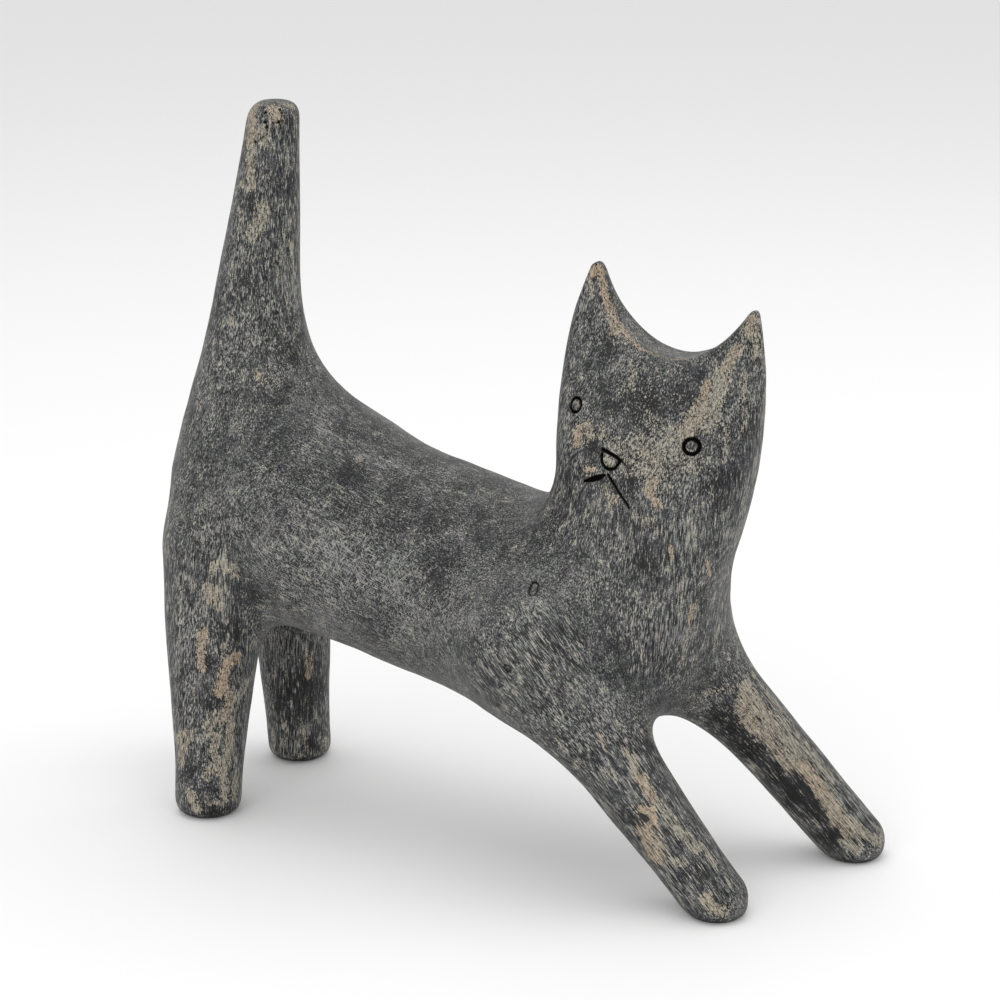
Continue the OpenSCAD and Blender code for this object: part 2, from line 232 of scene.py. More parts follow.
def net(height):
    """One point in each cube that the skin crosses, and a quad round each lattice edge that it crosses."""
    inside = height < 0
    count = sum(corner_view(inside, o).astype(np.uint8) for o in CORNERS)
    active = (count > 0) & (count < 8)
    cubes = np.argwhere(active)
    number = np.full(active.shape, -1)
    number[active] = np.arange(len(cubes))
    total, hits = np.zeros((len(cubes), 3)), np.zeros(len(cubes))
    for a, b in EDGES:
        ha, hb = corner_view(height, a)[active], corner_view(height, b)[active]
        crossed = (ha < 0) != (hb < 0)
        t = np.where(crossed, ha / np.where(crossed, ha - hb, 1), 0)
        total += np.where(crossed[:, None], np.array(a) + (np.array(b) - np.array(a)) * t[:, None], 0)
        hits += crossed
    points = cubes + total / hits[:, None]
    quads = []
    for axis in range(3):
        step = [np.eye(3, dtype=int)[(axis + i) % 3] for i in range(3)]
        low_side = inside[tuple(slice(0, n - (i == axis)) for i, n in enumerate(inside.shape))]
        high_side = inside[tuple(slice(int(i == axis), None) for i in range(3))]
        at = np.argwhere(low_side != high_side)
        b, c = step[1], step[2]
        ring = [number[tuple((at - o).T)] for o in (b + c, c, b * 0, b)]
        flip = ~low_side[tuple(at.T)]
        quad = np.stack(ring, 1)
        quad[flip] = quad[flip][:, ::-1]
        quads.append(quad)
    return points, np.concatenate(quads)


def slope(fn, p, e=0.05):
    """Which way, and how steeply, a skin's height rises at points."""
    return np.stack([(fn(p + e * d) - fn(p - e * d)) / (2 * e) for d in np.eye(3)], -1)


def settle(fn, p, most, rounds=3):
    """Moves points onto a skin, by at most this far a round."""
    for _ in range(rounds):
        g = slope(fn, p)
        step = -fn(p)[:, None] * g / np.maximum((g * g).sum(1), 0.1)[:, None]
        size = np.linalg.norm(step, axis=1, keepdims=True)
        p = p + step * np.minimum(1, most / np.maximum(size, 1e-9))
    return p


# ---------------------------------------------------------------- marks of the hand
rng = np.random.default_rng(7)


def waves(low, high, count):
    """Smooth unevenness: plane waves in all directions with wavelengths between low and high mm."""
    d = rng.normal(size=(count, 3))
    d /= np.linalg.norm(d, axis=1, keepdims=True)
    return d * (2 * math.pi / rng.uniform(low, high, (count, 1))), rng.uniform(0, 2 * math.pi, count)


SLOW, QUICK = waves(22, 45, 14), waves(7, 13, 20)
SLOW_HEIGHT, QUICK_HEIGHT = 0.09, 0.035


def unevenness(p):
    """How far a hand-made skin stands off the true one. It dies away at the soles."""
    total = 0
    for (k, phase), amount in ((SLOW, SLOW_HEIGHT), (QUICK, QUICK_HEIGHT)):
        total = total + amount * np.sin(p @ k.T + phase).sum(-1) / math.sqrt(len(phase) / 2)
    return total * ease((p[..., 2] - 0.5) / 5)


def face_point(u, w):
    """A place on the front of the head, from its middle: u towards the left ear, w up."""
    s = u - HEAD_LEAN * w
    v = head_half_thick(w) * (1 - abs(s / head_half_width(w)) ** HEAD_POWER) ** (1 / HEAD_POWER)
    guess = HEAD + u * HEAD_U + v * HEAD_V + w * HEAD_W
    return settle(figure, guess[None], 1.0, 4)[0]


def line_through(places, n=24):
    """Points on the face along a smooth line through a few places."""
    places = np.array(places, float)
    t = np.linspace(0, len(places) - 1, n)
    uw = np.stack([np.interp(t, np.arange(len(places)), places[:, i]) for i in (0, 1)], 1)
    return np.array([face_point(u, w) for u, w in uw])


def ring_places(centre, r, wobble=0.0, turn=0.0, n=28):
    """Places round a ring that is a little out of round."""
    a = np.linspace(0, 2 * math.pi, n + 1)
    radius = r * (1 + wobble * np.sin(2 * a + turn))
    return [(centre[0] + size * math.cos(turned), centre[1] + size * math.sin(turned))
            for size, turned in zip(radius, a)]


# Grooves on the head: points along the line, half width at each end, depth
GROOVES = [
    ("right_eye", line_through(ring_places((-23.9, 5.4), 2.05, 0.1, -1.0), 40), 0.6, 0.6, 0.85),
    ("left_eye", line_through(ring_places((16.3, 3.4), 2.3, 0.04, 2.0), 40), 0.75, 0.75, 0.85),
    ("nose", line_through([(-10.8, -4.0), (-8.0, -4.5), (-6.1, -4.9), (-4.1, -5.7), (-4.7, -7.2),
                           (-5.3, -8.4), (-6.8, -9.1), (-8.4, -9.0), (-9.7, -8.0), (-10.3, -6.8),
                           (-10.6, -5.4)], 44), 0.72, 0.6, 0.8),
    ("mouth_right", line_through([(-8.0, -11.2), (-9.5, -12.3), (-12.2, -13.9), (-14.4, -15.1)], 20),
     0.5, 0.5, 0.9),
    ("mouth_left", line_through([(-6.9, -10.8), (-4.2, -13.0), (-1.6, -15.4), (1.3, -17.6),
                                 (2.2, -18.7)], 24), 0.62, 0.4, 0.6),
    ("stray_cut", line_through([(-4.2, -5.4), (-2.4, -6.2), (-0.8, -7.6)], 8), 0.4, 0.3, 0.3),
]
# Some strokes are fatter in the middle than at both ends, by this much.
BELLY = {"mouth_right": 0.6}
BURR_HEIGHT = 0.07


def near_line(p, line, w0, w1):
    """How far points are from a line, the line's half width there, and how far along it that is, 0 to 1."""
    best, place = np.full(len(p), 1e9), np.zeros(len(p))
    for i in range(len(line) - 1):
        a, d = line[i], line[i + 1] - line[i]
        t = np.clip((p - a) @ d / max(d @ d, 1e-9), 0, 1)
        away = np.linalg.norm(p - a - t[:, None] * d, axis=1)
        closer = away < best
        best[closer] = away[closer]
        place[closer] = (i + t[closer]) / (len(line) - 1)
    return best, w0 + (w1 - w0) * place, place


def groove_depth(p):
    """Depth below the skin at points on the head. A pressed groove throws up a low burr beside it."""
    depth = np.zeros(len(p))
    for name, line, w0, w1, deep in GROOVES:
        away, width, place = near_line(p, line, w0, w1)
        x = away / (width + BELLY.get(name, 0) * np.sin(math.pi * place))
        depth = np.maximum(depth, deep * (1 - ease((x - 0.35) / 0.75)))
        depth -= BURR_HEIGHT * np.exp(-((x - 1.5) / 0.35) ** 2) * (depth < 0.05)
    return depth


# Dimples on the finished figure, in mm: from, to, radius, depth. The first is the chip above the foreleg.
DENTS = [((28.3, -31.1, 98.0), (28.4, -32.5, 96.4), 1.7, 0.8),
         ((25.0, -43.5, 74.5), (25.5, -43.5, 74.0), 1.2, 0.5)]
# Pinholes: place, radius
PINHOLE_DEPTH = 0.6
PINHOLES = [((-82.5, -2.0, 230.5), 0.75), ((-78.5, 0.0, 230.5), 0.8), ((-83.0, -1.5, 233.5), 0.7),
            ((-78.5, 1.0, 234.5), 0.7), ((-86.0, -3.0, 224.0), 0.8), ((-82.0, -2.0, 229.0), 0.7),
            ((35.0, -2.5, 194.5), 0.6)]


def dent_depth(p):
    """Depth of the dimples and pinholes below the skin, and how dark the paint is left in them."""
    depth, dark = np.zeros(len(p)), np.zeros(len(p))
    for a, b, r, deep in DENTS + [(c, c, r, PINHOLE_DEPTH) for c, r in PINHOLES]:
        x = near_line(p + SHIFT, np.array([a, b], float), r, r)[0] / r
        share = 1 - ease((x - 0.3) / 0.8)
        depth = np.maximum(depth, deep * share)
        dark = np.maximum(dark, 1.5 * share if a == b else 3.8 * share * (1 - share))
    return depth, np.minimum(dark, 1)


# ---------------------------------------------------------------- building a piece
def mesh_object(name, points, faces):
    mesh = bpy.data.meshes.new(name)
    mesh.from_pydata(points.tolist(), [], faces)
    obj = bpy.data.objects.new(name, mesh)
    bpy.context.scene.collection.objects.link(obj)
    return obj


def refine(points, faces, inside, levels):
    """Splits each quad that lies inside into four, for fine marks. Its neighbours gain corners."""
    for _ in range(levels):
        keep = inside(points)
        added, middles = [], {}

        def middle_of(a, b):
            edge = (min(a, b), max(a, b))
            if edge not in middles:
                middles[edge] = len(points) + len(added)
                added.append((points[a] + points[b]) / 2)
            return middles[edge]

        split, whole = [], []
        for face in faces:
            if len(face) != 4 or not all(keep[i] for i in face):
                whole.append(face)
                continue
            m = [middle_of(face[i - 1], face[i]) for i in range(4)]
            centre = len(points) + len(added)
            added.append(points[face].mean(0))
            split += [[face[i], m[(i + 1) % 4], centre, m[i]] for i in range(4)]
        for face in whole:
            ring = []
            for i, corner in enumerate(face):
                edge = (min(face[i - 1], corner), max(face[i - 1], corner))
                ring += [middles[edge], corner] if edge in middles else [corner]
            split.append(ring)
        points, faces = np.concatenate([points, np.array(added)]), split
    return points, faces


def get_points(mesh):
    co = np.empty(len(mesh.vertices) * 3)
    mesh.vertices.foreach_get("co", co)
    return co.reshape(-1, 3)


def set_points(mesh, co):
    mesh.vertices.foreach_set("co", co.ravel())
    mesh.update()


def cylinder(r, low, high, at, n, segments=64):
    """A closed cylinder along n, from low to high past the point at, in body millimetres."""
    bm = bmesh.new()
    turn = Vector((0, 0, 1)).rotation_difference(Vector(n)).to_matrix().to_4x4()
    place = Matrix.Translation(Vector(at)) @ turn @ Matrix.Translation((0, 0, (low + high) / 2))
    bmesh.ops.create_cone(bm, cap_ends=True, segments=segments, radius1=r, radius2=r,
                          depth=high - low, matrix=place)
    mesh = bpy.data.meshes.new("cutter")
    bm.to_mesh(mesh)
    bm.free()
    obj = bpy.data.objects.new("cutter", mesh)
    bpy.context.scene.collection.objects.link(obj)
    return obj


def cut_away(obj, cutter):
    mod = obj.modifiers.new("cut", "BOOLEAN")
    mod.operation, mod.solver, mod.object = "DIFFERENCE", "MANIFOLD", cutter
    graph = bpy.context.evaluated_depsgraph_get()
    result = bpy.data.meshes.new_from_object(obj.evaluated_get(graph))
    obj.modifiers.clear()
    old, obj.data = obj.data, result
    bpy.data.meshes.remove(old)
    bpy.data.objects.remove(cutter)


# The size of the faces on each carved piece
FINE = {"torso": 1.15, "head": 0.8, "tail": 0.9, "hind_right_leg": 0.9, "hind_left_leg": 0.9,
        "front_right_leg": 0.9, "front_left_leg": 0.9}


def marked_zones(name):
    """Where a piece needs fine faces: balls round its marks, in body millimetres."""
    zones = []
    if name == "head":
        for _, line, _, _, _ in GROOVES:
            middle = line.mean(0)
            zones.append((middle, np.linalg.norm(line - middle, axis=1).max() + 2.0))
    low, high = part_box(name)
    for c, r in [(a, r + 0.8) for a, _, r, _ in DENTS] + PINHOLES:
        if all(low[i] / MM - 3 < c[i] < high[i] / MM + 3 for i in range(3)):
            zones.append((np.array(c) - SHIFT, 2.2 * r + 1.2))
    return zones


def skinned(name):
    """One piece's skin with the marks of the hand, before it is cut and drilled."""
    low, high = (np.array(c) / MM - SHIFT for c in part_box(name))
    cell = FINE[name]
    margin = SPARE + 2 * cell
    solid = piece_solid(name)
    points, quads = net(sample(solid, low - margin, high + margin, cell))
    points = settle(solid, low - margin + cell * points, cell / 2)
    faces = quads.tolist()
    zones = marked_zones(name)
    if zones:
        points, faces = refine(points, faces, lambda p: np.any(
            [np.linalg.norm(p - c, axis=1) < r for c, r in zones], axis=0), 2)
    p = settle(solid, points, cell / 2, 2)
    n = slope(solid, p)
    n /= np.maximum(np.linalg.norm(n, axis=1, keepdims=True), 1e-9)
    lift = unevenness(p) - dent_depth(p)[0]
    if name == "head":
        lift -= groove_depth(p)
    return mesh_object(name + "_carved", p + n * lift[:, None], faces)


def cut_and_drill(obj, name):
    """Cuts a piece flat at its joints and drills it for its pegs. A leg is cut flat on the ground too."""
    torso = name == "torso"
    span = (0, 3 * SPARE) if torso else (-3 * SPARE, 0)
    for j in JOINTS.values() if torso else [JOINTS[name]]:
        size = j["reach"] if torso else j["reach"] + 4
        cut_away(obj, cylinder(size, *span, j["at"], j["n"], 96))
        half = j["peg_l"] / 2 + GLUE_GAP
        cut_away(obj, cylinder(j["peg_r"] + PEG_GAP, -half, half, j["at"], j["n"]))
    if name.endswith("leg"):
        cut_away(obj, cylinder(260, -20, 0, (0, 0, 0), (0, 0, 1)))


def carve(name):
    obj = skinned(name)
    cut_and_drill(obj, name)
    set_points(obj.data, (get_points(obj.data) + SHIFT) * MM)
    for poly in obj.data.polygons:
        poly.use_smooth = True
    obj.data.set_sharp_from_angle(angle=math.radians(48))
    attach(obj, "root")
    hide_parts(name)
    return obj


PIECES = {name: carve(name) for name in FINE}


# ---------------------------------------------------------------- where the paint is worn
UP = np.array([0.0, 0.0, 1.0])
# Round the soles, up to this height, the colour is kept dark and without worn patches; it changes to the rest
# over this much.
SOLE_RIM, SOLE_RIM_FADE = 0.8, 2.2
# A groove this deep or deeper is full of dark paint.
INKED_DEPTH = 0.45


def axis_of(leg):
    """Which way a leg runs, from the body down."""
    a, b = (np.array(c, float) for c in LEGS[leg][:2])
    return (b - a) / np.linalg.norm(b - a)


RIGHT_AXIS, LEFT_AXIS = axis_of("front_right"), axis_of("front_left")

# Bands rubbed through to the ground, in mm on the finished figure:
# the line down the middle, half width, strength, how peach (0 is beige-grey)
WORN = [
    # tail
    (((-89, 1, 234), (-88, -1, 229), (-88, -2, 224)), 2.4, 0.95, 0.6),
    (((-81, 0, 235), (-79, 0, 231)), 1.7, 0.85, 0.7),
    (((-79, 4, 236), (-77, 6, 235)), 1.3, 0.7, 0.2),
    (((-83, -2, 228), (-83, -3, 224)), 1.6, 0.7, 0.2),
    (((-87, -3, 223), (-88, -3, 217), (-87, -4, 210)), 1.7, 0.85, 0.25),
    (((-92, -3, 210), (-88, -4, 209)), 1.2, 0.7, 0.1),
    (((-83, -4, 203), (-83, -4, 199), (-87, -5, 194)), 2.2, 0.85, 0.15),
    (((-93, -5, 197), (-91, -5, 196)), 0.8, 0.7, 0.1),
    (((-78, 4, 190), (-78, 5, 182)), 1.1, 0.65, 0.1),
    (((-80, -1, 189), (-80, -1, 179)), 0.7, 0.6, 0.1),
    (((-92, -7, 184), (-83, -4, 187)), 0.8, 0.5, 0.1),
    (((-83, -11, 149), (-81, -10, 147)), 1.5, 0.5, 0.5),
    # right hind leg
    (((-90, -29, 88), (-90, -29, 85)), 1.3, 0.85, 0.4),
    (((-86, -29, 89), (-86, -29, 86)), 1.3, 0.8, 0.3),
    (((-82, -28, 89), (-82, -28, 85)), 1.2, 0.7, 0.4),
    (((-92, -30, 80), (-91, -30, 75)), 1.5, 0.85, 0.5),
    (((-89, -29, 79), (-89, -29, 73)), 1.3, 0.8, 0.4),
    (((-97, -31, 81), (-95, -30, 80)), 1.0, 0.5, 0.3),
    (((-93, -31, 65), (-94, -32, 58), (-93, -33, 52)), 1.3, 0.95, 0.8),
    (((-87, -28, 60), (-87, -29, 56)), 0.9, 0.8, 0.2),
    (((-84, -25, 55), (-86, -28, 54), (-87, -29, 49), (-88, -31, 44)), 1.5, 1.0, 1.0),
    (((-86, -28, 43), (-86, -29, 39), (-87, -31, 34)), 1.4, 0.85, 0.7),
    (((-89, -32, 37), (-89, -33, 34)), 1.3, 0.7, 0.5),
    (((-91, -34, 34), (-90, -34, 30)), 1.5, 0.75, 0.2),
    (((-85, -29, 32), (-85, -30, 25), (-86, -32, 18)), 1.4, 0.95, 0.4),
    (((-88, -33, 29), (-89, -34, 24), (-87, -34, 18)), 1.5, 0.75, 0.4),
    (((-98, -36, 30), (-98, -36, 25)), 1.4, 0.65, 0.5),
    (((-101, -35, 28), (-100, -37, 18)), 1.3, 0.8, 0.6),
    (((-87, -33, 19), (-86, -33, 12), (-85, -34, 7)), 1.1, 0.85, 0.4),
    (((-90, -36, 18), (-90, -37, 15)), 1.0, 0.75, 0.6),
    (((-84, -28, 14), (-84, -30, 7)), 1.3, 0.7, 0.1),
    (((-95, -39, 9), (-93, -39, 5)), 1.9, 0.9, 0.4),
    (((-89, -38, 7), (-86, -34, 6)), 1.0, 0.65, 0.1),
    (((-83, -17, 48), (-84, -25, 40), (-85, -28, 33), (-85, -31, 21)), 0.6, 0.85, 0.2),
    (((-83, -22, 46), (-85, -27, 40), (-86, -30, 34)), 0.55, 0.8, 0.2),
    (((-103, -30, 84), (-102, -32, 65)), 0.5, 0.7, 0.1),
    # left hind leg
    (((-84, 22, 41), (-85, 22, 33)), 1.3, 0.65, 0.7),
    (((-93, 19, 16), (-93, 19, 7)), 0.9, 0.5, 0.3),
    (((-87, 21, 15), (-87, 22, 7)), 1.0, 0.5, 0.3),
    (((-89, 21, 4), (-87, 22, 3)), 0.7, 0.6, 0.2),
    (((-100, 21, 13), (-98, 20, 6)), 0.8, 0.5, 0.3),
    # right ear and the saddle's edge
    (((34, -3, 192), (37, -3, 193)), 1.8, 1.0, 1.0),
    (((38, -3, 191), (39, -4, 187), (40, -5, 183)), 1.3, 0.95, 0.9),
    (((41, -5, 182), (43, -6, 179), (44, -7, 175)), 1.6, 0.9, 0.7),
    (((44, -6, 178), (48, -6, 174), (52, -7, 171)), 1.0, 0.85, 0.8),
    (((52, -7, 171), (58, -6, 169), (67, -5, 168)), 0.7, 0.85, 0.6),
    (((33, -3, 190), (34, -4, 186)), 1.4, 0.6, 0.1),
    # left ear
    (((87, -1, 182), (86, -2, 178)), 1.6, 0.9, 0.6),
    (((83, -4, 173), (81, -5, 169), (79, -6, 165)), 1.5, 0.95, 0.6),
    (((79, -6, 165), (79, -8, 160), (77, -10, 155)), 2.4, 0.95, 0.2),
    (((75, -8, 162), (75, -10, 158)), 1.2, 0.95, 0.9),
    (((75, -10, 156), (73, -12, 152), (71, -14, 148)), 2.4, 0.95, 0.5),
    (((79, -10, 153), (77, -12, 149)), 1.5, 0.8, 0.1),
    (((88, -1, 177), (88, -2, 171)), 1.2, 0.55, 0.4),
    (((89, 1, 174), (90, 1, 157), (89, 1, 144)), 0.6, 0.55, 0.1),
    (((86, -4, 165), (86, -7, 155)), 0.9, 0.7, 0.1),
    # cheeks and mouth
    (((36, -16, 145), (36, -17, 141)), 1.5, 0.9, 0.9),
    (((39, -16, 147), (41, -17, 144)), 1.5, 0.65, 0.6),
    (((44, -17, 147), (45, -18, 144)), 1.2, 0.5, 0.4),
    (((40, -20, 134), (43, -20, 134)), 1.0, 0.75, 0.9),
    (((47, -20, 138), (49, -20, 137)), 1.0, 0.75, 0.1),
    (((59, -18, 141), (63, -18, 138)), 2.2, 0.65, 0.4),
    (((64, -15, 147), (69, -16, 144)), 2.2, 0.55, 0.0),
    (((72, -17, 138), (74, -16, 137)), 1.8, 0.5, 0.1),
    (((63, -20, 133), (62, -21, 130), (65, -21, 126)), 1.4, 0.8, 0.8),
    (((48, -22, 129), (51, -22, 126)), 1.4, 0.6, 0.5),
    (((60, -22, 122), (65, -22, 119)), 1.5, 0.5, 0.1),
    (((52, -10, 165), (51, -12, 160)), 1.6, 0.55, 0.0),
    (((56, -18, 143), (64, -17, 143), (72, -16, 140)), 4.0, 0.5, 0.1),
    (((50, -19, 142), (56, -20, 137), (66, -19, 133)), 3.0, 0.45, 0.2),
    (((60, -15, 150), (64, -16, 146)), 3.0, 0.4, 0.0),
    (((88, -5, 161), (87, -7, 149)), 1.0, 0.6, 0.1),
    (((82, -9, 150), (82, -11, 140)), 1.2, 0.5, 0.1),
    # neck and chest
    (((69, -20, 113), (69, -20, 110)), 0.8, 0.8, 0.9),
    (((78, -12, 107), (78, -10, 102)), 0.9, 0.75, 0.8),
    (((74, -13, 93), (73, -13, 88)), 1.0, 0.8, 0.7),
    (((73, -13, 86), (71, -12, 77), (69, -11, 72)), 0.9, 0.65, 0.0),
    (((76, 3, 81), (75, 2, 74)), 0.6, 0.6, 0.0),
    (((73, 2, 59), (79, 8, 60)), 1.2, 0.6, 0.3),
    # right front leg
    (((54, -38, 56), (56, -38, 52)), 0.9, 0.55, 0.4),
    (((61, -35, 51), (64, -35, 47), (66, -36, 43)), 1.1, 0.85, 0.4),
    (((67, -36, 43), (70, -36, 39), (72, -36, 36)), 1.4, 0.95, 0.8),
    (((58, -39, 45), (61, -39, 42)), 0.8, 0.6, 0.1),
    (((69, -39, 34), (72, -38, 33), (73, -39, 30)), 1.1, 0.95, 1.0),
    (((71, -40, 27), (73, -39, 23), (74, -39, 20)), 2.7, 0.95, 0.75),
    (((73, -36, 36), (77, -36, 32), (81, -36, 27), (86, -35, 23)), 1.5, 0.95, 0.0),
    (((79, -39, 19), (82, -39, 19)), 1.6, 0.85, 0.1),
    (((86, -33, 23), (91, -33, 18)), 1.2, 0.85, 0.1),
    (((53, -38, 35), (56, -38, 34)), 0.6, 0.6, 0.6),
    (((91, -39, 9), (93, -40, 7), (96, -38, 5)), 1.8, 0.95, 0.5),
    (((93, -32, 16), (97, -33, 12)), 0.7, 0.5, 0.0),
    # left front leg
    (((82, 13, 58), (86, 14, 52), (90, 16, 47)), 2.7, 0.95, 0.4),
    (((82, 10, 54), (84, 11, 49), (88, 13, 45)), 2.0, 0.95, 0.6),
    (((91, 16, 46), (96, 18, 40), (99, 19, 35)), 2.4, 0.95, 0.2),
    (((90, 14, 43), (93, 15, 38), (97, 17, 33)), 1.7, 0.85, 0.5),
    (((99, 19, 34), (103, 20, 29), (106, 21, 24)), 2.1, 1.0, 0.8),
    (((106, 21, 24), (110, 22, 18), (115, 23, 12)), 2.1, 0.95, 0.6),
    (((82, 19, 62), (86, 20, 56), (91, 22, 50)), 1.2, 0.8, 0.1),
    (((106, 23, 28), (109, 24, 24)), 1.2, 0.65, 0.1),
    (((93, 20, 48), (100, 23, 39), (108, 25, 29)), 3.0, 0.5, 0.1),
    (((115, 25, 14), (120, 27, 10), (123, 30, 7)), 1.6, 0.8, 0.3),
    (((114, 22, 8), (117, 24, 6)), 1.6, 0.75, 0.1),
    # thin light lines: a lap of paint on the forehead, scratches on the back, an edge under the leg
    (((43, -15, 164), (46, -16, 162), (49, -16, 162), (52, -15, 165)), 0.5, 0.8, 0.0),
    (((-63, -14, 127), (-58, -16, 125)), 0.4, 0.7, 0.1),
    (((-38, -8, 126), (-28, -10, 122)), 0.4, 0.7, 0.0),
    (((-7, -12, 117), (2, -13, 115)), 0.5, 0.7, 0.0),
    (((-80, -23, 73), (-71, -22, 74), (-57, -26, 76)), 1.0, 0.45, 0.0),
    (((-79, -21, 70), (-70, -17, 68), (-60, -14, 64), (-53, -16, 64)), 0.6, 0.75, 0.0),
]
# The same on the cat's left side, where each place is how far along it is and how high
LEFT_WORN = [
    # tail
    (((-84, 226), (-86, 219), (-86, 212)), 1.8, 0.85, 0.4),
    (((-92, 201), (-91, 192)), 1.2, 0.8, 0.2),
    (((-84, 186), (-86, 176)), 1.4, 0.7, 0.1),
    (((-94, 166), (-95, 156)), 1.6, 0.75, 0.5),
    (((-102, 134), (-103, 126)), 1.5, 0.6, 0.3),
    # hind leg
    (((-98, 86), (-97, 78)), 1.5, 0.8, 0.4),
    (((-92, 72), (-93, 62), (-92, 54)), 1.6, 0.9, 0.8),
    (((-98, 50), (-97, 41)), 1.3, 0.8, 0.3),
    (((-89, 42), (-90, 33)), 1.5, 0.9, 0.6),
    (((-96, 27), (-95, 18)), 1.6, 0.85, 0.4),
    (((-88, 16), (-88, 8)), 1.4, 0.85, 0.2),
    # front leg
    (((72, 62), (78, 53), (83, 46)), 1.8, 0.85, 0.4),
    (((90, 36), (96, 29)), 1.7, 0.9, 0.7),
    (((101, 27), (107, 19)), 1.7, 0.9, 0.5),
    # head
    (((36, 188), (39, 181), (41, 175)), 1.5, 0.9, 0.8),
    (((85, 176), (84, 169), (82, 163)), 1.6, 0.9, 0.6),
    (((74, 160), (73, 150)), 1.8, 0.8, 0.3),
    (((40, 156), (41, 146)), 1.8, 0.8, 0.5),
    (((58, 136), (60, 127)), 2.0, 0.65, 0.2),
    (((45, 118), (44, 110)), 1.2, 0.7, 0.6),
    (((68, 112), (68, 104)), 1.2, 0.75, 0.8),
    # body
    (((-66, 104), (-58, 102)), 1.1, 0.6, 0.2),
    (((6, 92), (13, 89)), 1.2, 0.6, 0.4),
    (((36, 84), (40, 78)), 1.2, 0.6, 0.2),
]
# Soft grey haze left by a nearly dry brush, and painted light on the shaded edge of the belly: place, size,
# strength
HAZE_AND_PAINTED_LIGHT = [
    ((-23, -29, 88), 9, 0.8), ((-45, -30, 97), 9, 0.8), ((-90, -27, 106), 5, 0.8), ((-65, -31, 100), 4, 0.8),
    ((28, -36, 93), 10, 0.6), ((54, -33, 65), 6, 0.9), ((-35, 0, 126), 6, 0.1), ((-10, 0, 119), 6, 0.1),
    ((18, -9, 117), 6, 0.7), ((48, -6, 175), 4, 0.9), ((55, -2, 171), 4, 0.9), ((67, -1, 169), 3, 0.8),
    ((-95, -10, 157), 6, 0.6), ((-85, -24, 119), 7, 0.5), ((9, -37, 86), 6, 0.8), ((66, -22, 85), 6, 0.6),
    ((82, -3, 106), 6, 0.6), ((81, -3, 89), 5, 0.4), ((28, -5, 173), 3, 0.3),
    # The four spots on the next line are painted light: they lighten the shaded edge of the belly.
    ((-48, -25, 74), 7, 0.8), ((-31, -29, 80), 7, 0.9), ((-16, -29, 75), 7, 0.9), ((-44, -20, 66), 6, 0.8),
    ((15, 30, 95), 22, 0.6), ((-60, 34, 100), 24, 0.6), ((-98, 10, 150), 14, 0.5), ((70, 18, 120), 18, 0.5),
]
